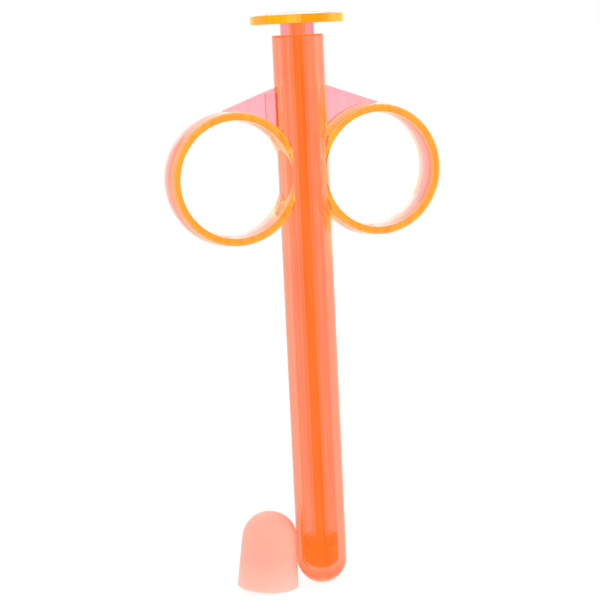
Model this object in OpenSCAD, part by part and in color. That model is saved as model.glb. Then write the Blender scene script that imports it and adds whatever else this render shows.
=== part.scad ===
// Ring-handled oral syringe with a separate push-on cap.
// Long axis along Z, nozzle down, finger rings spread along X.
// Origin: centre of the nozzle mouth. Units: millimetres.

/* [Barrel] */
// Outside diameter of the barrel
barrel_od = 12.6; // [10:0.1:16]
// Wall thickness of the barrel
barrel_wall = 1.8; // [1:0.1:2.2]
// Height of the open rim above the nozzle mouth
barrel_len = 137.9; // [120:0.2:170]
// Diameter of the hole in the nozzle
mouth_d = 1.4; // [1:0.1:3.6]
// Thickness of plastic in the nozzle floor
nose_floor = 3.2; // [1.8:0.1:4]
// Radius of the flat middle of the nozzle floor, inside its rounded edge
nose_flat = 1.1; // [0.8:0.1:2]
// Bevel around the inside of the open rim
rim_bevel = 0.5; // [0.2:0.1:0.8]

/* [Finger rings] */
// How far the barrel stands into a finger hole
hole_bite = 1.4; // [0.8:0.1:2.2]
// Distance from the open rim down to the ring centres
ring_drop = 34; // [26:0.1:70]
// Diameter of the finger hole at its narrowest, half way through
hole_d = 27.6; // [22:0.1:34]
// Extra hole radius at the two faces of a ring
hole_flare = 0.5; // [0.2:0.1:0.9]
// Radial thickness of a ring half way through
ring_wall = 2.9; // [2.4:0.1:3.6]
// How far the outside of a ring falls away toward its faces
ring_fall = 0.6; // [0.2:0.1:0.9]
// Width of a ring from face to face
ring_width = 9.2; // [6:0.2:11.2]

/* [Gussets] */
// Thickness of the webs between the barrel and the rings
gusset_t = 1.2; // [0.8:0.1:3]
// Slope of the top edge of a web, in degrees
gusset_slope = 19.6; // [16:0.2:24]
// How far the top edge passes under the top of its ring
gusset_dip = 0.5; // [0.2:0.1:1]

/* [Plunger] */
// Diameter of the thumb plate
thumb_d = 23; // [18:0.5:30]
// Thickness of the thumb plate at its edge
thumb_t = 2.1; // [1.5:0.1:4]
// Height of the crown on the thumb plate
thumb_crown = 0.8; // [0.3:0.1:1.5]
// Gap between the thumb plate and the open rim when pushed home
thumb_gap = 2.7; // [1:0.1:12]
// Clearance between the edges of the rod flanges and the bore, per side
rod_clear = 0.35; // [0.3:0.05:1]
// Thickness of the rod flanges
rod_web = 2.6; // [1.6:0.1:3.2]
// Turn of the rod flanges about the long axis, in degrees
rod_turn = -20; // [-45:5:45]
// Length of the piston head
head_len = 8.9; // [7.4:0.1:16]
// Gap left under the piston head when pushed home
head_gap = 0.5; // [0.4:0.1:2]
// Clearance between the piston head and the bore, per side
head_clear = 0.1; // [0.06:0.01:0.1]

/* [Seal] */
// Height of the seal ring
seal_h = 2; // [1.4:0.1:3]
// Radial thickness of the seal ring
seal_t = 1.4; // [1:0.1:1.8]
// Clearance between the seal and the bore, and the seal and its groove
seal_clear = 0.05; // [0.02:0.01:0.08]
// Distance from the top of the piston head to the seal groove
seal_drop = 2.4; // [1.6:0.1:3]

/* [Cap] */
// Wall of the cap at its mouth
cap_mouth_wall = 1.35; // [0.9:0.05:2]
// Wall of the cap where the dome begins
cap_dome_wall = 0.6; // [0.5:0.05:1.2]
// Height of the straight skirt of the cap
cap_skirt = 12.1; // [9:0.1:16]
// Thickness of the top of the dome
cap_top_t = 0.8; // [0.6:0.1:1.6]
// Clearance of the cap over the barrel, per side
cap_clear = 0.05; // [0.02:0.01:0.1]
// Bevel inside the mouth of the cap
cap_bevel = 0.4; // [0.2:0.1:0.6]
// Gap between the cap and the side of the barrel, at its nearest
cap_gap = 0.1; // [0.1:0.1:20]
// Direction of the cap around the barrel, in degrees
cap_bearing = 175; // [90:5:270]
// How far the cap leans toward the barrel, in degrees
cap_lean = 5; // [0:0.5:8]

/* [Hidden] */
$fn = 96;
e = 0.5;
barrel_r = barrel_od / 2;
bore_r = barrel_r - barrel_wall;
nose_corner = bore_r - nose_flat;
nose_z = sqrt(barrel_r * barrel_r - mouth_d * mouth_d / 4);
floor_z = nose_z - barrel_r + nose_floor;
hole_r = hole_d / 2;
ring_r = hole_r + ring_wall;
ring_offset = barrel_r + hole_r - hole_bite;
ring_height = barrel_len - ring_drop;
half_w = ring_width / 2;
gusset_r = ring_r - gusset_dip;
head_r = bore_r - head_clear;
rod_r = bore_r - rod_clear;
head_z = floor_z + head_gap;
head_top = head_z + head_len;
groove_top = head_top - seal_drop;
groove_h = seal_h + 2 * seal_clear;
seal_r = bore_r - seal_clear;
seal_in = seal_r - seal_t;
groove_r = seal_in - seal_clear;
thumb_z = barrel_len + thumb_gap;
crown_r = (thumb_d * thumb_d / 4 + thumb_crown * thumb_crown) / (2 * thumb_crown);
cap_in = barrel_r + cap_clear;
cap_mouth_r = cap_in + cap_mouth_wall;
cap_dome_r = cap_in + cap_dome_wall;
cap_reach = max(cap_mouth_r * cos(cap_lean), cap_dome_r + cap_skirt * sin(cap_lean));
cap_away = barrel_r + cap_reach + cap_gap;
cap_lift = cap_mouth_r * sin(cap_lean);
cap_h = cap_skirt + cap_dome_r;
cap_in_z = cap_h - cap_top_t - cap_in;

// Solid of revolution with a rounded lower edge, standing on z = 0
module round_foot(r, corner, h) {
  rotate_extrude() {
    square([r - corner, h]);
    translate([r - corner, corner]) intersection() {
      circle(corner);
      translate([0, -corner]) square([corner, corner]);
    }
    translate([0, corner]) square([r, h - corner]);
  }
}

// Outside of the barrel, closed, with the ball nose cut at the mouth
module barrel_outside() {
  intersection() {
    union() {
      translate([0, 0, nose_z]) sphere(barrel_r);
      translate([0, 0, nose_z]) cylinder(r = barrel_r, h = barrel_len - nose_z);
    }
    cylinder(r = 2 * barrel_r, h = barrel_len);
  }
}

module barrel() {
  color([1, 0.45, 0.2, 0.6]) difference() {
    barrel_outside();
    translate([0, 0, floor_z]) round_foot(bore_r, nose_corner, barrel_len);
    translate([0, 0, -e]) cylinder(d = mouth_d, h = floor_z + 2 * e);
    translate([0, 0, barrel_len - rim_bevel])
      cylinder(r1 = bore_r, r2 = bore_r + 2 * rim_bevel, h = 2 * rim_bevel);
  }
}

// Two cones joined at their wide or narrow ends, axis along Y
module double_cone(r_mid, r_face, half) {
  rotate([90, 0, 0]) cylinder(r1 = r_mid, r2 = r_face, h = half);
  rotate([-90, 0, 0]) cylinder(r1 = r_mid, r2 = r_face, h = half);
}

// Side is -1 for the left ring and 1 for the right ring
module ring_outside(side) {
  translate([side * ring_offset, 0, ring_height])
    double_cone(ring_r, ring_r - ring_fall, half_w);
}

module ring_hole(side) {
  slope = hole_flare / half_w;
  translate([side * ring_offset, 0, ring_height])
    double_cone(hole_r, hole_r + slope * (half_w + e), half_w + e);
}

module finger_ring(side) {
  difference() {
    ring_outside(side);
    ring_hole(side);
    cylinder(r = barrel_r, h = barrel_len);
  }
}

module finger_ring_left() {
  color([1, 0.6, 0.25, 0.7]) finger_ring(-1);
}

module finger_ring_right() {
  color([1, 0.6, 0.25, 0.7]) finger_ring(1);
}

module gusset(side) {
  nx = sin(gusset_slope);
  nz = cos(gusset_slope);
  end_x = ring_offset + gusset_r * nx;
  end_z = ring_height + gusset_r * nz;
  difference() {
    rotate([90, 0, 0]) linear_extrude(gusset_t, center = true)
      polygon([[0, end_z + end_x * nx / nz], [side * end_x, end_z],
               [side * ring_offset, ring_height], [0, ring_height]]);
    ring_outside(side);
    cylinder(r = barrel_r, h = barrel_len);
  }
}

module gusset_left() {
  color([1, 0.7, 0.75, 0.7]) gusset(-1);
}

module gusset_right() {
  color([1, 0.7, 0.75, 0.7]) gusset(1);
}

module plunger_rod() {
  rod_h = thumb_z - head_top;
  color([1, 0.55, 0.5, 0.7]) translate([0, 0, head_top]) rotate([0, 0, rod_turn])
    intersection() {
      cylinder(r = rod_r, h = rod_h);
      union() {
        translate([-bore_r, -rod_web / 2, 0]) cube([2 * bore_r, rod_web, rod_h]);
        translate([-rod_web / 2, -bore_r, 0]) cube([rod_web, 2 * bore_r, rod_h]);
      }
    }
}

module thumb_plate() {
  color([1, 0.65, 0.2, 0.7]) translate([0, 0, thumb_z]) rotate_extrude()
    intersection() {
      square([thumb_d / 2, thumb_t + thumb_crown]);
      translate([0, thumb_t + thumb_crown - crown_r]) circle(crown_r, $fn = 720);
    }
}

module piston_head() {
  color([1, 0.4, 0.15, 0.8]) difference() {
    translate([0, 0, head_z]) round_foot(head_r, nose_corner, head_len);
    translate([0, 0, groove_top - groove_h]) difference() {
      cylinder(r = bore_r + e, h = groove_h);
      cylinder(r = groove_r, h = groove_h);
    }
  }
}

module seal_ring() {
  color([0.9, 0.85, 0.8]) translate([0, 0, groove_top - groove_h + seal_clear])
    difference() {
      cylinder(r = seal_r, h = seal_h);
      translate([0, 0, -e]) cylinder(r = seal_in, h = seal_h + 2 * e);
    }
}

module tip_cap() {
  color([0.95, 0.75, 0.65]) rotate([0, 0, cap_bearing])
    translate([cap_away, 0, cap_lift]) rotate([0, -cap_lean, 0]) difference() {
      union() {
        cylinder(r1 = cap_mouth_r, r2 = cap_dome_r, h = cap_skirt);
        translate([0, 0, cap_skirt]) sphere(cap_dome_r);
      }
      translate([0, 0, cap_in_z]) sphere(cap_in);
      translate([0, 0, -e]) cylinder(r = cap_in, h = cap_in_z + e);
      translate([0, 0, -cap_bevel])
        cylinder(r1 = cap_in + 2 * cap_bevel, r2 = cap_in, h = 2 * cap_bevel);
    }
}

barrel();
finger_ring_left();
finger_ring_right();
gusset_left();
gusset_right();
plunger_rod();
thumb_plate();
piston_head();
seal_ring();
tip_cap();
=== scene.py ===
import math

import bmesh
import bpy
from mathutils import Matrix, Vector


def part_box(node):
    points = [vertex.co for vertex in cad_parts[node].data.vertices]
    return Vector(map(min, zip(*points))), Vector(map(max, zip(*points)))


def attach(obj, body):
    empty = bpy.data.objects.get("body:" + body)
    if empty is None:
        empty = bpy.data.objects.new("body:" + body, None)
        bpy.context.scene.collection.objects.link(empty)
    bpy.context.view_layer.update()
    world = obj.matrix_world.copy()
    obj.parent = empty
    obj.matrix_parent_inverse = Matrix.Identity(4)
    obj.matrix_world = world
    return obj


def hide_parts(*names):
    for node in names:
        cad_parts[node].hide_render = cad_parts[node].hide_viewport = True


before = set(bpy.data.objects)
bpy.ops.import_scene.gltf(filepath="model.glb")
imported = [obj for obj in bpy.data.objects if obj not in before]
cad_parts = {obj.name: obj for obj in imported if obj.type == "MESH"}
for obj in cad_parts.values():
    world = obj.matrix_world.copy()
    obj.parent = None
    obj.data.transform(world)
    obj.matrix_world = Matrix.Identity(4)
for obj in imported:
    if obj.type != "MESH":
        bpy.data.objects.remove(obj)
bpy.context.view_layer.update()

MM = 0.001
TURNS = 240          # facets around the barrel and plunger
RING_TURNS = 480     # facets around a finger ring

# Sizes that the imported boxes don't give, in millimetres and degrees
WALL = 1.8
MOUTH_R = 0.7
NOSE_FLOOR = 3.2
NOSE_FLAT = 1.1
HOLE_R = 13.8
HOLE_FLARE = 0.5
HOLE_BITE = 1.4        # how far the barrel stands into a finger hole
RING_FALL = 0.6
GUSSET_SLOPE = 19.6
GUSSET_DIP = 0.5
HEAD_CLEAR = 0.1
ROD_CLEAR = 0.35
ROD_WEB = 2.6
ROD_TURN = -20
ROD_ROOT = 0.9
THUMB_T = 2.1
SEAL_T = 1.4
SEAL_CLEAR = 0.05
CAP_SKIRT = 12.1
CAP_CLEAR = 0.05
CAP_TOP = 0.8
CAP_MOUTH_WALL = 1.35
CAP_DOME_WALL = 0.6
CAP_GAP = 0.1
CAP_BEARING = 175
CAP_LEAN = 5

# Easing of the mouldings' edges and joins, in millimetres
RING_EASE_OUT = 0.5
RING_EASE_IN = 0.45
WEB_ROOT = 0.32        # how far the fillet at a web's root runs out along the web
WEB_ROOT_UP = 0.5      # and how far it runs up the barrel
PAD_T = 0.35           # height of the raised pad on the left web
PAD_X = 9.4
PAD_TOP = 124.0


def box_mm(node):
    """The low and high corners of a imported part, in millimetres."""
    low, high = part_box(node)
    return low / MM, high / MM


BARREL_HIGH = box_mm("barrel")[1]
BARREL_R = BARREL_HIGH.x
BORE_R = BARREL_R - WALL
NOSE_CORNER = BORE_R - NOSE_FLAT
BARREL_TOP = BARREL_HIGH.z
NOSE_Z = math.sqrt(BARREL_R ** 2 - MOUTH_R ** 2)
FLOOR_Z = NOSE_Z - BARREL_R + NOSE_FLOOR
RING_LOW, RING_HIGH = box_mm("finger_ring_right")
RING_Z = (RING_LOW.z + RING_HIGH.z) / 2
RING_HALF = RING_HIGH.y
RING_X = BARREL_R + HOLE_R - HOLE_BITE
RING_R = RING_HIGH.x - RING_X
GUSSET_HALF = box_mm("gusset_right")[1].y
HEAD_LOW, HEAD_HIGH = box_mm("piston_head")
SEAL_LOW, SEAL_HIGH = box_mm("seal_ring")
THUMB_LOW, THUMB_HIGH = box_mm("thumb_plate")


# Painted light: glow given as emission on the plastic's faces, standing in for its fluorescent
# edge glow and for light piped through and reflected by it, as (red, green, blue)
RIM_LIGHT = (1.0, 0.345, 0.020)
PLATE_TOP_LIGHT = (0.25, 0.10, 0.02)
# painted bands of reflected and piped light around the plate's rim, laid out from one view,
# each as (from angle, to angle, light), repeated every half turn
PLATE_LIGHT = ((-205, -151, (0.95, 0.40, 0.030)), (-151, -121, (1.0, 0.455, 0.006)),
               (-121, -105, (0.98, 0.485, 0.045)), (-105, -70, (0.96, 0.35, 0.004)),
               (-70, -25, (1.0, 0.45, 0.022)))
BARREL_LIGHT = (0.30, 0.095, 0.007)
# painted light beside the rings, stronger and yellower on the right: the rings' glow seen
# through the tube's wall
LEFT_JOIN_LIGHT = (0.35, 0.13, 0.03)
RIGHT_JOIN_LIGHT = (0.40, 0.24, 0.03)
MOUTH_LIGHT = (0.40, 0.16, 0.03)
HOLE_LIGHT = (0.30, 0.15, 0.05)
SIDE_LIGHT = (0.30, 0.13, 0.07)
BY_RIM_LIGHT = (0.35, 0.30, 0.03)
TURNED_LIGHT = (0.38, 0.37, 0.11)
EASED_LIGHT = (0.36, 0.30, 0.06)
BY_TUBE_LIGHT = (0.55, 0.25, 0.02)
INNER_TUBE_LIGHT = (0.45, 0.33, 0.10)
ROOT_LIGHT = (0.45, 0.23, 0.05)
FLANGE_LIGHT = (0.30, 0.10, 0.004)
DEEP_LIGHT = (0.30, 0.015, 0.005)
BROAD_LIGHT = (0.20, 0.09, 0.10)
NECK_LIGHT = (0.20, 0.08, 0.0)
NOSE_LIGHT = (0.35, 0.16, 0.045)
NO_LIGHT = (0.0, 0.0, 0.0, 0.0)
EDGE_GLOW_TINT = (1.0, 0.45, 0.12)    # painted orange base colour at the plastic's cut edges, the colour of their glow


# ---------------------------------------------------------------- outlines

def arc(cx, cy, r, start, end, steps):
    """Points on a circle from one angle to another, in degrees."""
    out = []
    for i in range(steps + 1):
        a = math.radians(start + (end - start) * i / steps)
        out.append((cx + r * math.cos(a), cy + r * math.sin(a)))
    return out


def eased(corners, steps=5):
    """A closed outline whose corners (x, y, radius) are rounded by their radius."""
    out = []
    n = len(corners)
    for i, (x, y, r) in enumerate(corners):
        here = Vector((x, y))
        if r <= 0:
            out.append((x, y))
            continue
        back = (Vector(corners[i - 1][:2]) - here).normalized()
        ahead = (Vector(corners[(i + 1) % n][:2]) - here).normalized()
        half = back.angle(ahead) / 2
        reach = r / math.tan(half)
        middle = here + (back + ahead).normalized() * (r / math.sin(half))
        first = here + back * reach - middle
        last = here + ahead * reach - middle
        turn = first.angle_signed(last)
        for k in range(steps + 1):
            p = middle + Matrix.Rotation(-turn * k / steps, 2) @ first
            out.append((p.x, p.y))
    return out


# ---------------------------------------------------------------- solids

def new_piece(name, bm):
    """A mesh object from points in millimetres."""
    bmesh.ops.remove_doubles(bm, verts=bm.verts, dist=1e-5)
    bmesh.ops.recalc_face_normals(bm, faces=bm.faces)
    if bm.calc_volume(signed=True) < 0:
        bmesh.ops.reverse_faces(bm, faces=bm.faces)
    bmesh.ops.scale(bm, vec=(MM, MM, MM), verts=bm.verts)
    mesh = bpy.data.meshes.new(name)
    bm.to_mesh(mesh)
    bm.free()
    piece = bpy.data.objects.new(name, mesh)
    bpy.context.scene.collection.objects.link(piece)
    return piece


def turned(name, outline, turns, place=None):
    """A closed outline (radius, height) turned about the Z axis, then placed."""
    bm = bmesh.new()
    loops = []
    for r, z in outline:
        if r < 1e-6:
            loops.append([bm.verts.new((0, 0, z))])
            continue
        loops.append([bm.verts.new((r * math.cos(math.tau * k / turns),
                                    r * math.sin(math.tau * k / turns), z))
                      for k in range(turns)])
    for i, a in enumerate(loops):
        b = loops[(i + 1) % len(loops)]
        if len(a) == 1 and len(b) == 1:
            continue
        for k in range(turns):
            j = (k + 1) % turns
            if len(a) == 1:
                bm.faces.new((a[0], b[k], b[j]))
            elif len(b) == 1:
                bm.faces.new((a[k], b[0], a[j]))
            else:
                bm.faces.new((a[k], b[k], b[j], a[j]))
    if place is not None:
        bmesh.ops.transform(bm, matrix=place, verts=bm.verts)
    return new_piece(name, bm)


def drawn_up(name, outline, low, high, place=None):
    """A closed outline (x, y) drawn from one height to another, then placed."""
    bm = bmesh.new()
    ends = [[bm.verts.new((x, y, z)) for x, y in outline] for z in (low, high)]
    bm.faces.new(ends[0])
    bm.faces.new(ends[1])
    n = len(outline)
    for k in range(n):
        j = (k + 1) % n
        bm.faces.new((ends[0][k], ends[0][j], ends[1][j], ends[1][k]))
    if place is not None:
        bmesh.ops.transform(bm, matrix=place, verts=bm.verts)
    return new_piece(name, bm)


def worked(piece, other, how):
    """Joins another solid to a piece, or cuts it away, and drops the other."""
    step = piece.modifiers.new("work", "BOOLEAN")
    step.operation = how
    step.solver = "EXACT"
    step.object = other
    held = bpy.context.evaluated_depsgraph_get()
    mesh = bpy.data.meshes.new_from_object(piece.evaluated_get(held))
    piece.modifiers.clear()
    old = piece.data
    piece.data = mesh
    bpy.data.meshes.remove(old)
    bpy.data.objects.remove(other, do_unlink=True)
    return piece


def ring_cuts(piece, heights):
    """Divides the faces of a piece at level lines, without changing its shape."""
    bm = bmesh.new()
    bm.from_mesh(piece.data)
    for z in heights:
        bmesh.ops.bisect_plane(bm, geom=bm.verts[:] + bm.edges[:] + bm.faces[:],
                               plane_co=(0, 0, z * MM), plane_no=(0, 0, 1))
    bm.to_mesh(piece.data)
    bm.free()


def smoothed(piece, angle=28):
    """Smooth shading, kept sharp where faces meet at more than the angle."""
    mesh = piece.data
    mesh.shade_smooth()
    mesh.set_sharp_from_angle(angle=math.radians(angle))
    return piece


def light_faces(piece, rule):
    """Writes the painted light of each face (red, green, blue) and how far it is a cut edge,
    which turns its colour to the painted edge-glow orange.
    """
    mesh = piece.data
    layer = mesh.attributes.new("painted_light", "FLOAT_COLOR", "CORNER")
    values = [0.0] * (4 * len(mesh.loops))
    for face in mesh.polygons:
        middle = face.center / MM
        for k in face.loop_indices:
            corner = mesh.vertices[mesh.loops[k].vertex_index].co / MM
            values[4 * k:4 * k + 4] = rule(corner, middle, face.normal)
    layer.data.foreach_set("color", values)


def between(a, b, t):
    """A colour part of the way from one to another."""
    t = min(max(t, 0.0), 1.0)
    return tuple(x + (y - x) * t for x, y in zip(a, b))


# ---------------------------------------------------------------- barrel moulding

def barrel_tube():
    """The tube with its ball nose, open rim, bore and mouth."""
    outer = arc(0, NOSE_Z, BARREL_R, -82, 0, 44)
    corners = [(x, y, 0) for x, y in outer]
    corners += [(BARREL_R, z, 0) for z in range(12, 136, 4)]
    corners += [(BARREL_R, BARREL_TOP, 0.22), (BORE_R + 0.5, BARREL_TOP, 0.12),
                (BORE_R, BARREL_TOP - 0.5, 0.3)]
    corners += [(BORE_R, FLOOR_Z, NOSE_CORNER), (MOUTH_R, FLOOR_Z, 0.15),
                (MOUTH_R, 0, 0.12)]
    return turned("barrel_moulding", eased(corners, 10), TURNS)


def ring_place(side):
    """Lays a shape turned about Z on the axis of a finger hole."""
    return (Matrix.Translation((side * RING_X, 0, RING_Z))
            @ Matrix.Rotation(math.radians(90), 4, "X"))


def rod_shape(r, low, high):
    return [(0, low), (r, low), (r, high), (0, high)]


def ring_solid(side):
    """One finger ring, its hole and outside falling away from the middle line."""
    face_out = RING_R - RING_FALL
    face_in = HOLE_R + HOLE_FLARE
    steps = (0.3, 0.55, 0.75, 0.88)
    inside = [(HOLE_R + HOLE_FLARE * t, RING_HALF * t, 0) for t in steps]
    outside = [(RING_R - RING_FALL * t, RING_HALF * t, 0) for t in steps[:3]]
    corners = [(HOLE_R, 0, 0)] + [(r, -y, 0) for r, y, _ in inside]
    corners += [(face_in, -RING_HALF, RING_EASE_IN), (face_out, -RING_HALF, RING_EASE_OUT)]
    corners += [(r, -y, 0) for r, y, _ in reversed(outside)] + [(RING_R, 0, 0)] + outside
    corners += [(face_out, RING_HALF, RING_EASE_OUT), (face_in, RING_HALF, RING_EASE_IN)]
    corners += list(reversed(inside))
    return turned("ring", eased(corners, 5), RING_TURNS, ring_place(side))


def gusset_solid(side):
    """The web between the barrel and the top of a ring."""
    slope = math.radians(GUSSET_SLOPE)
    reach = RING_R - GUSSET_DIP
    end_x = RING_X + reach * math.sin(slope)
    end_z = RING_Z + reach * math.cos(slope)
    thick = GUSSET_HALF
    top = end_z + end_x * math.tan(slope)
    outline = [(0, top), (end_x, end_z), (RING_X + 3, RING_Z + reach - 1.5),
               (RING_X - 6, RING_Z + 14.2), (0, RING_Z + 2)]
    outline = [(side * x, z) for x, z in outline]
    place = Matrix.Rotation(math.radians(90), 4, "X")
    web = drawn_up("gusset", outline, -thick, thick, place)
    if side < 0:
        # a thin raised pad between the ring and the barrel, on the front of the left web
        pad = [(0, PAD_TOP), (-PAD_X, PAD_TOP), (-PAD_X, RING_Z + 12), (0, RING_Z + 12)]
        worked(web, drawn_up("pad", pad, 0, thick + PAD_T, place), "UNION")
    half = [(0, thick + WEB_ROOT_UP), (BARREL_R - 0.06, thick + WEB_ROOT_UP),
            (BARREL_R + 0.18, thick + 0.12), (BARREL_R + WEB_ROOT, thick)]
    root = [(x, -y) for x, y in half] + half[::-1]
    root = [(side * x, y) for x, y in root]
    worked(web, drawn_up("root", root, RING_Z + 10, top - 7 * math.tan(slope)), "UNION")
    return web


def tube_light(p, c, n):
    """Painted light of the tube: its rim, its mouth, and its sides, brighter beside the rings.
    """
    if c.z > BARREL_TOP - 0.6 and n.z > 0.6:
        return (*MOUTH_LIGHT, 0.5)
    if c.z < FLOOR_Z + 0.02 and math.hypot(c.x, c.y) < MOUTH_R + 0.3:
        return (*HOLE_LIGHT, 0.6)
    if p.z < 5:
        return (*between(NOSE_LIGHT, BARREL_LIGHT, (p.z - 1.5) / 3), 0.0)
    join = LEFT_JOIN_LIGHT if p.x < 0 else RIGHT_JOIN_LIGHT
    near = min((abs(p.x) - 2.4) / 3.4, (p.z - 82) / 8, (128 - p.z) / 8)
    return (*between(BARREL_LIGHT, join, near), 0.0)


def rim_light(c, n, away):
    """Painted light of a ring's flat rim and of the edges that turn out from it."""
    if abs(n.y) < 0.999:
        if abs(c.x) < 5.2:
            return (*BARREL_LIGHT, 0.3)
        if away > RING_R - RING_FALL - RING_EASE_OUT - 0.05:
            return (*TURNED_LIGHT, 0.15)
        if away < HOLE_R + HOLE_FLARE + RING_EASE_IN + 0.05:
            return (*BY_RIM_LIGHT, 0.5)
    return (*RIM_LIGHT, 1.0)


def ring_side_light(p, c, away):
    """Painted light of a ring's hole and outside, warmer toward its rims and beside the tube.
    """
    outer = away > HOLE_R + 1.5
    by_rim = TURNED_LIGHT if outer else EASED_LIGHT
    across = between(SIDE_LIGHT, by_rim, (abs(p.y) - 2.4) / 1.7)
    if not outer:
        near = min((BARREL_R + 3.5 - abs(p.x)) / 2.5, 0.8)
        return (*between(across, INNER_TUBE_LIGHT, near), 0.0)
    if abs(c.x) < 5.4:
        return (*BARREL_LIGHT, 0.2)
    far, fade = (18.0, 12.0) if p.z > RING_Z else (10.5, 4.0)
    near = min(max((far - abs(p.x)) / fade, 0.0), 1.0)
    return (*between(across, BY_TUBE_LIGHT, near), 0.6 * near)


def barrel_light(p, c, n):
    """Painted light at a corner p of the face with middle c and normal n."""
    if math.hypot(c.x, c.y) < BARREL_R + 0.02:
        return tube_light(p, c, n)
    away = math.hypot(abs(c.x) - RING_X, c.z - RING_Z)
    faces_out = abs(n.y) > 0.9
    if faces_out and abs(c.y) > RING_HALF - 0.4 and away < RING_R + 0.2:
        return rim_light(c, n, away)
    on_web = faces_out and abs(c.y) < RING_HALF - 1
    if HOLE_R - 0.2 < away < RING_R + 0.05 and not on_web:
        return ring_side_light(p, c, away)
    if abs(c.x) < BARREL_R + 0.45 and RING_Z + 8 < c.z < 126 and 0.58 < abs(c.y) < 1.2:
        return (*ROOT_LIGHT, 0.3)
    return NO_LIGHT


def barrel_moulding():
    """The tube, both rings and both webs as one solid."""
    tube = barrel_tube()
    middle = BARREL_R - WALL / 2
    for side in (-1, 1):
        ring = ring_solid(side)
        hole = turned("hole", rod_shape(HOLE_R - 0.02, -6, 6), RING_TURNS, ring_place(side))
        web = worked(gusset_solid(side), hole, "DIFFERENCE")
        worked(ring, web, "UNION")
        worked(ring, turned("core", rod_shape(middle, 60, 136), TURNS), "DIFFERENCE")
        worked(tube, ring, "UNION")
    light_faces(smoothed(tube), barrel_light)
    return tube


# ---------------------------------------------------------------- plunger moulding

def rod_outline():
    """A cross whose four flanges end on the rod's circle."""
    r = BORE_R - ROD_CLEAR
    half = ROD_WEB / 2
    lip = math.degrees(math.asin(half / r))
    out = []
    for quarter in range(4):
        a = 90 * quarter
        turn = Matrix.Rotation(math.radians(-a), 2)
        out += arc(0, 0, r, a - lip + 2.5, a + lip - 2.5, 8)
        for x, y in arc(half + ROD_ROOT, half + ROD_ROOT, ROD_ROOT, 270, 180, 10):
            p = turn.inverted() @ Vector((x, y))
            out.append((p.x, p.y))
    return out


def plate_light(c, n, away):
    """Painted light of the thumb plate: painted bands of reflected and piped light around its
    rim, a little on top, none underneath.
    """
    outward = (c.x * n.x + c.y * n.y) / max(away, 0.01)
    if outward < 0.6 or away < THUMB_HIGH.x - 0.5:
        return (*PLATE_TOP_LIGHT, 0.0) if n.z > 0.5 else NO_LIGHT
    first = PLATE_LIGHT[0][0]
    around = (math.degrees(math.atan2(n.y, n.x)) - first) % 180 + first
    return next((*colour, 1.0) for start, end, colour in PLATE_LIGHT if start <= around <= end)


def plunger_light(p, c, n):
    """Painted light at a corner p of the face with middle c and normal n."""
    away = math.hypot(c.x, c.y)
    if c.z > THUMB_LOW.z - 0.01:
        return plate_light(c, n, away)
    if c.z <= HEAD_HIGH.z:
        return (*DEEP_LIGHT, 0.8)
    above = min(max((p.z - BARREL_TOP + 1) / 1.2, 0.0), 1.0)
    if away > BORE_R - 0.6:
        return (*between(DEEP_LIGHT, FLANGE_LIGHT, above), 0.0)
    if away < 2.5:
        return (*between(BROAD_LIGHT, NECK_LIGHT, above), 0.35 * above)
    return (*between(BROAD_LIGHT, NO_LIGHT[:3], above), 0.0)


def plunger_moulding():
    """The rod, the thumb plate and the piston head as one solid."""
    low = HEAD_HIGH.z - 1.0
    high = THUMB_LOW.z + 0.8
    rod = drawn_up("plunger_moulding", rod_outline(), low, high,
                   Matrix.Rotation(math.radians(ROD_TURN), 4, "Z"))
    r = THUMB_HIGH.x
    crown = THUMB_HIGH.z - THUMB_LOW.z - THUMB_T
    big = (r * r + crown * crown) / (2 * crown)
    top = THUMB_HIGH.z
    sweep = math.degrees(math.asin((r - 0.3) / big))
    plate = [(0, THUMB_LOW.z, 0), (r, THUMB_LOW.z, 0.25), (r, THUMB_LOW.z + THUMB_T, 0.25)]
    plate += [(x, y, 0) for x, y in arc(0, top - big, big, 90 - sweep, 90, 14)]
    plate = turned("plate", eased(plate, 6), TURNS)
    worked(rod, plate, "UNION")
    hr = BORE_R - HEAD_CLEAR
    seal_in = SEAL_HIGH.x - SEAL_T - SEAL_CLEAR
    head = [(0, HEAD_LOW.z, 0), (hr, HEAD_LOW.z, NOSE_CORNER),
            (hr, SEAL_LOW.z - SEAL_CLEAR, 0.12), (seal_in, SEAL_LOW.z - SEAL_CLEAR, 0.1),
            (seal_in, SEAL_HIGH.z + SEAL_CLEAR, 0.1), (hr, SEAL_HIGH.z + SEAL_CLEAR, 0.12),
            (hr, HEAD_HIGH.z, 0.3), (0, HEAD_HIGH.z, 0)]
    head = turned("head", eased(head, 8), TURNS)
    worked(rod, head, "UNION")
    ring_cuts(rod, (BARREL_TOP - 1, BARREL_TOP + 0.2))
    light_faces(smoothed(rod), plunger_light)
    return rod


# ---------------------------------------------------------------- seal and cap

def seal_piece():
    """The soft ring in the piston's groove."""
    r = SEAL_HIGH.x
    inner = r - SEAL_T
    outline = eased([(inner, SEAL_LOW.z, 0.2), (r, SEAL_LOW.z, 0.45),
                     (r, SEAL_HIGH.z, 0.45), (inner, SEAL_HIGH.z, 0.2)], 6)
    seal = smoothed(turned("piston_seal", outline, TURNS))
    # painted light: the same deep glow as the piston head, with the painted edge-glow orange
    light_faces(seal, lambda p, c, n: (*DEEP_LIGHT, 0.8))
    return seal


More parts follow.
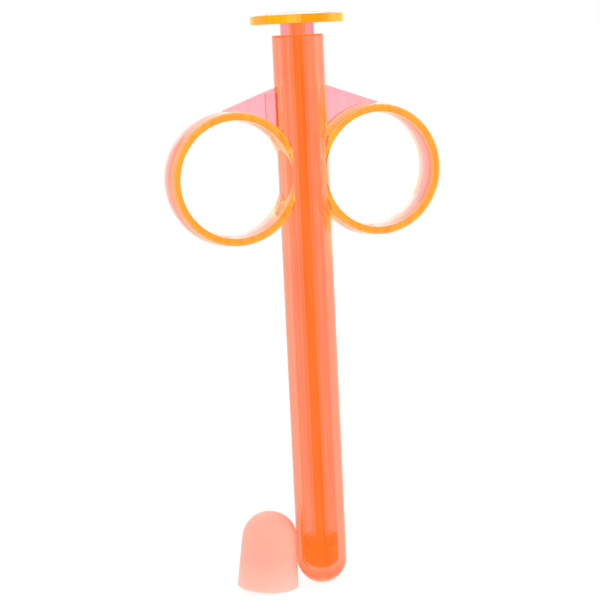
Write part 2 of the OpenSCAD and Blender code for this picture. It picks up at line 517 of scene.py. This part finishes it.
def cap_piece():
    """The domed cap, hollow, leaning against the side of the barrel."""
    lean = math.radians(CAP_LEAN)
    inside = BARREL_R + CAP_CLEAR
    mouth = inside + CAP_MOUTH_WALL
    dome = inside + CAP_DOME_WALL
    height = CAP_SKIRT + dome
    inside_z = height - CAP_TOP - inside
    reach = max(mouth * math.cos(lean), dome + CAP_SKIRT * math.sin(lean))
    away = BARREL_R + reach + CAP_GAP
    place = (Matrix.Rotation(math.radians(CAP_BEARING), 4, "Z")
             @ Matrix.Translation((away, 0, mouth * math.sin(lean)))
             @ Matrix.Rotation(-lean, 4, "Y"))
    outline = [(0, height - CAP_TOP, 0)]
    outline += [(x, y, 0) for x, y in arc(0, inside_z, inside, 88, 0, 30)]
    outline += [(inside, 0.42, 0.3), (inside + 0.4, 0, 0.12), (mouth, 0, 0.3)]
    outline += [(x, y, 0) for x, y in arc(0, CAP_SKIRT, dome, 0, 88, 34)]
    outline += [(0, height, 0)]
    cap = turned("frosted_cap", eased(outline, 6), 160, place)
    return smoothed(cap, 40)


# ---------------------------------------------------------------- finishes

def add(tree, kind, *feeds, **settings):
    """A new node. Lower-case settings are its options; feeds, in order, and the other
    settings, by name, are its inputs, each a plain value or another node's output."""
    node = tree.nodes.new(kind)
    inputs = dict(enumerate(feeds))
    for key, value in settings.items():
        if key[0].islower():
            setattr(node, key, value)
        else:
            inputs[key.replace("_", " ")] = value
    for key, value in inputs.items():
        if isinstance(value, bpy.types.NodeSocket):
            tree.links.new(value, node.inputs[key])
        else:
            node.inputs[key].default_value = value
    return node


def noise(tree, place, scale, detail, roughness=0.5):
    return add(tree, "ShaderNodeTexNoise", Vector=place, Scale=scale, Detail=detail,
               Roughness=roughness)


def maths(tree, operation, *feeds):
    return add(tree, "ShaderNodeMath", *feeds, operation=operation).outputs["Value"]


def vectors(tree, operation, *feeds, **settings):
    node = add(tree, "ShaderNodeVectorMath", *feeds, operation=operation, **settings)
    return node.outputs["Vector"]


def ramp(tree, value, low, high, least=0.0, most=1.0):
    """Goes from least to most as the value goes from low to high."""
    return add(tree, "ShaderNodeMapRange", value, From_Min=low, From_Max=high,
               To_Min=least, To_Max=most).outputs["Result"]


def mixed(tree, a, b, factor, blend="MIX"):
    return add(tree, "ShaderNodeMix", data_type="RGBA", blend_type=blend,
               Factor=factor, A=a, B=b).outputs["Result"]


def object_place(tree):
    return add(tree, "ShaderNodeTexCoord").outputs["Object"]


def group(name, inputs, outputs):
    """An empty shader node group with named inputs and outputs."""
    tree = bpy.data.node_groups.new(name, "ShaderNodeTree")
    for label, kind, value in inputs:
        s = tree.interface.new_socket(name=label, in_out="INPUT", socket_type=kind)
        s.default_value = value
    for label, kind in outputs:
        tree.interface.new_socket(name=label, in_out="OUTPUT", socket_type=kind)
    return tree, tree.nodes.new("NodeGroupInput").outputs


def give_out(tree, **results):
    add(tree, "NodeGroupOutput", **results)


def flow_lines_group():
    """Faint streaks that the melt leaves along a moulding, and hair lines on the tube."""
    tree, into = group("flow_lines",
                       [("Around", "NodeSocketFloat", 900.0),
                        ("Along", "NodeSocketFloat", 30.0)],
                       [("Height", "NodeSocketFloat"), ("Mask", "NodeSocketFloat"),
                        ("Lines", "NodeSocketFloat")])
    place = object_place(tree)
    stretch = add(tree, "ShaderNodeCombineXYZ", into["Around"], into["Around"], into["Along"])
    along = vectors(tree, "MULTIPLY", place, stretch.outputs["Vector"])
    streak = noise(tree, along, 1.0, 3.0).outputs["Fac"]
    fine = vectors(tree, "MULTIPLY", along, (2.6, 2.6, 0.35))
    hair = ramp(tree, noise(tree, fine, 1.0, 1.0, 0.4).outputs["Fac"], 0.58, 0.66)
    # hair lines only on the tube, and stronger toward its open end
    parts = add(tree, "ShaderNodeSeparateXYZ", place).outputs
    upper = ramp(tree, parts["Z"], 0.03, 0.11, 0.25)
    on_tube = ramp(tree, maths(tree, "ABSOLUTE", parts["X"]), 0.0066, 0.0063)
    give_out(tree, Height=streak, Mask=ramp(tree, streak, 0.35, 0.7),
             Lines=maths(tree, "MULTIPLY", hair, maths(tree, "MULTIPLY", upper, on_tube)))
    return tree


def handling_marks_group():
    """Hair-fine scratches and dulled patches from handling."""
    tree, into = group("handling_marks",
                       [("Clean", "NodeSocketFloat", 0.03),
                        ("Dulled", "NodeSocketFloat", 0.12)],
                       [("Roughness", "NodeSocketFloat"), ("Scratches", "NodeSocketFloat")])
    place = object_place(tree)
    patch = noise(tree, place, 160.0, 4.0, 0.6).outputs["Fac"]
    wander = noise(tree, place, 90.0, 1.0).outputs["Color"]
    bent = vectors(tree, "MULTIPLY_ADD", wander, (0.004, 0.004, 0.004), place)
    line = add(tree, "ShaderNodeTexVoronoi", feature="DISTANCE_TO_EDGE", Vector=bent,
               Scale=420.0).outputs["Distance"]
    scratch = maths(tree, "MULTIPLY", ramp(tree, line, 0.0, 0.012, 1.0, 0.0),
                    ramp(tree, patch, 0.56, 0.66))
    give_out(tree, Scratches=scratch,
             Roughness=ramp(tree, patch, 0.35, 0.75, into["Clean"], into["Dulled"]))
    return tree


def painted_light_group():
    """Clouds and streaks the painted light that stands in for a fluorescent plastic's glow."""
    tree, into = group("painted_light",
                       [("Light", "NodeSocketColor", (0.0, 0.0, 0.0, 1)),
                        ("Streaks", "NodeSocketFloat", 0.5),
                        ("Least", "NodeSocketFloat", 0.9),
                        ("Most", "NodeSocketFloat", 1.1)],
                       [("Light", "NodeSocketColor")])
    cloud = noise(tree, object_place(tree), 70.0, 3.0, 0.55).outputs["Fac"]
    both = maths(tree, "ADD", cloud, into["Streaks"])
    vary = ramp(tree, both, 0.5, 1.5, into["Least"], into["Most"])
    give_out(tree, Light=vectors(tree, "SCALE", into["Light"], Scale=vary))
    return tree


FLOW = flow_lines_group()
MARKS = handling_marks_group()
LIGHT = painted_light_group()


def use(tree, effect, **values):
    """Places a shared effect in a material, with its own values."""
    return add(tree, "ShaderNodeGroup", node_tree=effect, **values).outputs


def finish_material(name):
    mat = bpy.data.materials.new(name)
    mat.use_nodes = True
    nodes = mat.node_tree.nodes
    return mat, mat.node_tree, nodes["Principled BSDF"].inputs, nodes["Material Output"]


def clear_plastic(name, tint, density, absorb, flow=0.012):
    """Clear fluorescent plastic, tinted, with painted light given out as emission from its
    faces and a painted orange at its glowing edges.
    """
    mat, tree, shader, out = finish_material(name)
    link = tree.links.new
    _, green, blue = tint
    shader["Transmission Weight"].default_value = 1.0
    shader["IOR"].default_value = 1.49
    shader["Metallic"].default_value = 0.0
    shader["Specular Tint"].default_value = (1.0, 0.35, 0.1, 1)
    marks = use(tree, MARKS, Clean=0.02, Dulled=0.07)
    link(marks["Roughness"], shader["Roughness"])
    streaks = use(tree, FLOW)
    # painted light of each face, and how far its colour turns to the painted edge-glow orange
    own = add(tree, "ShaderNodeAttribute", attribute_name="painted_light").outputs
    streaked = mixed(tree, (*tint, 1), (1.0, green * 0.88, blue * 0.84, 1), streaks["Mask"])
    lined = mixed(tree, streaked, (1.0, green * 0.62, blue * 0.55, 1), streaks["Lines"])
    # painted orange at the glowing cut edges
    link(mixed(tree, lined, (*EDGE_GLOW_TINT, 1), own["Alpha"]), shader["Base Color"])
    # the painted light, clouded and streaked, given out as emission
    light = use(tree, LIGHT, Light=own["Color"], Streaks=streaks["Mask"], Least=1.12, Most=0.88)
    link(light["Light"], shader["Emission Color"])
    shader["Emission Strength"].default_value = 1.0
    height = maths(tree, "SUBTRACT", streaks["Height"], marks["Scratches"])
    bump = add(tree, "ShaderNodeBump", Strength=flow, Distance=0.0002, Height=height)
    link(bump.outputs["Normal"], shader["Normal"])
    inside = add(tree, "ShaderNodeVolumeAbsorption", Color=(*absorb, 1), Density=density)
    link(inside.outputs["Volume"], out.inputs["Volume"])
    return mat


def frosted_plastic():
    """Soft pink plastic with a fine matt skin, painted paler toward its open mouth as light
    from the floor, deeper toward its top as shade, and with a faint painted glow.
    """
    mat, tree, shader, _ = finish_material("frosted_cap_plastic")
    link = tree.links.new
    place = object_place(tree)
    cloud = noise(tree, place, 110.0, 4.0, 0.6).outputs["Fac"]
    height = add(tree, "ShaderNodeSeparateXYZ", place).outputs["Z"]
    # painted light and shade: paler near the mouth, where the floor's light comes through,
    # deeper toward the top
    colour = mixed(tree, (0.93, 0.49, 0.41, 1), (0.93, 0.37, 0.28, 1),
                   ramp(tree, height, 0.001, 0.0085))
    link(mixed(tree, colour, (1.0, 0.93, 0.92, 1), cloud, "MULTIPLY"), shader["Base Color"])
    # painted light: a faint orange glow that lifts the cap's shaded sides
    shader["Emission Color"].default_value = (1.0, 0.38, 0.28, 1)
    shader["Emission Strength"].default_value = 0.12
    link(use(tree, MARKS, Clean=0.5, Dulled=0.68)["Roughness"], shader["Roughness"])
    shader["Subsurface Weight"].default_value = 0.6
    shader["Subsurface Radius"].default_value = (1.0, 0.35, 0.25)
    shader["Subsurface Scale"].default_value = 0.003
    frost = noise(tree, place, 4200.0, 3.0, 0.65).outputs["Fac"]
    bump = add(tree, "ShaderNodeBump", Strength=0.15, Distance=0.00003, Height=frost)
    link(bump.outputs["Normal"], shader["Normal"])
    return mat


def floor_finish():
    """Matt white paper, lit from within so that it stays as pale as the backdrop."""
    mat, tree, shader, _ = finish_material("pale_floor")
    cloud = add(tree, "ShaderNodeTexNoise", Scale=14.0, Detail=2.0).outputs["Fac"]
    grey = mixed(tree, (0.17, 0.17, 0.17, 1), (0.20, 0.20, 0.20, 1), cloud)
    tree.links.new(grey, shader["Base Color"])
    shader["Roughness"].default_value = 0.9
    shader["Specular IOR Level"].default_value = 0.0
    shader["Emission Color"].default_value = (1.0, 1.0, 1.0, 1)
    shader["Emission Strength"].default_value = 0.86
    return mat


# ---------------------------------------------------------------- put together

barrel = barrel_moulding()
barrel.data.materials.append(clear_plastic(
    "clear_barrel_plastic", (1.0, 0.69, 0.79), 300.0, (1.0, 0.0, 0.0)))
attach(barrel, "barrel")
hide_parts("barrel", "finger_ring_left", "finger_ring_right",
            "gusset_left", "gusset_right")

plunger = plunger_moulding()
plunger.data.materials.append(clear_plastic(
    "clear_plunger_plastic", (1.0, 0.60, 0.84), 290.0, (1.0, 0.28, 0.0)))
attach(plunger, "plunger")
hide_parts("plunger_rod", "thumb_plate", "piston_head")

seal = seal_piece()
seal.data.materials.append(clear_plastic(
    "soft_seal_rubber", (1.0, 0.50, 0.45), 300.0, (1.0, 0.31, 0.0), flow=0.1))
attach(seal, "seal")
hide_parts("seal_ring")

cap = cap_piece()
cap.data.materials.append(frosted_plastic())
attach(cap, "cap")
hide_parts("tip_cap")


# ---------------------------------------------------------------- studio

def studio():
    """Soft white light from all sides over a pale floor."""
    scene = bpy.context.scene
    scene.view_settings.view_transform = "Standard"
    scene.cycles.max_bounces = 32
    scene.cycles.transmission_bounces = 32
    scene.cycles.glossy_bounces = 12
    world = bpy.data.worlds.new("soft_white")
    scene.world = world
    world.use_nodes = True
    back = world.node_tree.nodes["Background"]
    back.inputs["Color"].default_value = (1.0, 1.0, 1.0, 1)
    back.inputs["Strength"].default_value = 1.0
    bm = bmesh.new()
    bmesh.ops.create_circle(bm, cap_ends=True, radius=4.0, segments=64)
    mesh = bpy.data.meshes.new("floor")
    bm.to_mesh(mesh)
    bm.free()
    floor = bpy.data.objects.new("floor", mesh)
    floor.location.z = -0.00001
    scene.collection.objects.link(floor)
    floor.data.materials.append(floor_finish())
    for name, place, size, power in (
            ("key_light", (-0.7, -0.9, 0.9), (1.2, 1.2), 3.0),
            ("fill_light", (0.9, -0.5, 0.5), (1.0, 1.0), 3.0),
            ("back_light", (0.2, 1.0, 0.8), (1.2, 1.0), 3.0)):
        lamp = bpy.data.lights.new(name, "AREA")
        lamp.shape = "RECTANGLE"
        lamp.size, lamp.size_y = size
        lamp.energy = power
        holder = bpy.data.objects.new(name, lamp)
        holder.location = place
        aim = Vector((0, 0, 0.07)) - Vector(place)
        holder.rotation_mode = "QUATERNION"
        holder.rotation_quaternion = aim.to_track_quat("-Z", "Y")
        scene.collection.objects.link(holder)


def camera():
    """Level with the thumb plate, turned to the left of the rings and a little rolled."""
    turn, rise, roll = math.radians(-19.835), math.radians(8.036), math.radians(-2.72)
    away, across, up_by = 460.05, -2.42, 72.46      # millimetres
    focal = 1845.74 / 600                           # in picture widths
    back = Vector((math.sin(turn) * math.cos(rise), -math.cos(turn) * math.cos(rise),
                   math.sin(rise)))
    right = Vector((math.cos(turn), math.sin(turn), 0))
    up = back.cross(right)
    place = (right * across + Vector((0, 0, up_by)) + back * away) * MM
    right, up = (right * math.cos(roll) + up * math.sin(roll),
                 up * math.cos(roll) - right * math.sin(roll))
    data = bpy.data.cameras.new("camera")
    data.sensor_width = 36
    data.lens = focal * data.sensor_width
    data.clip_start, data.clip_end = 0.01, 20
    holder = bpy.data.objects.new("camera", data)
    bpy.context.scene.collection.objects.link(holder)
    holder.matrix_world = Matrix((
        (right.x, up.x, back.x, place.x),
        (right.y, up.y, back.y, place.y),
        (right.z, up.z, back.z, place.z),
        (0, 0, 0, 1)))
    bpy.context.scene.camera = holder


studio()
camera()
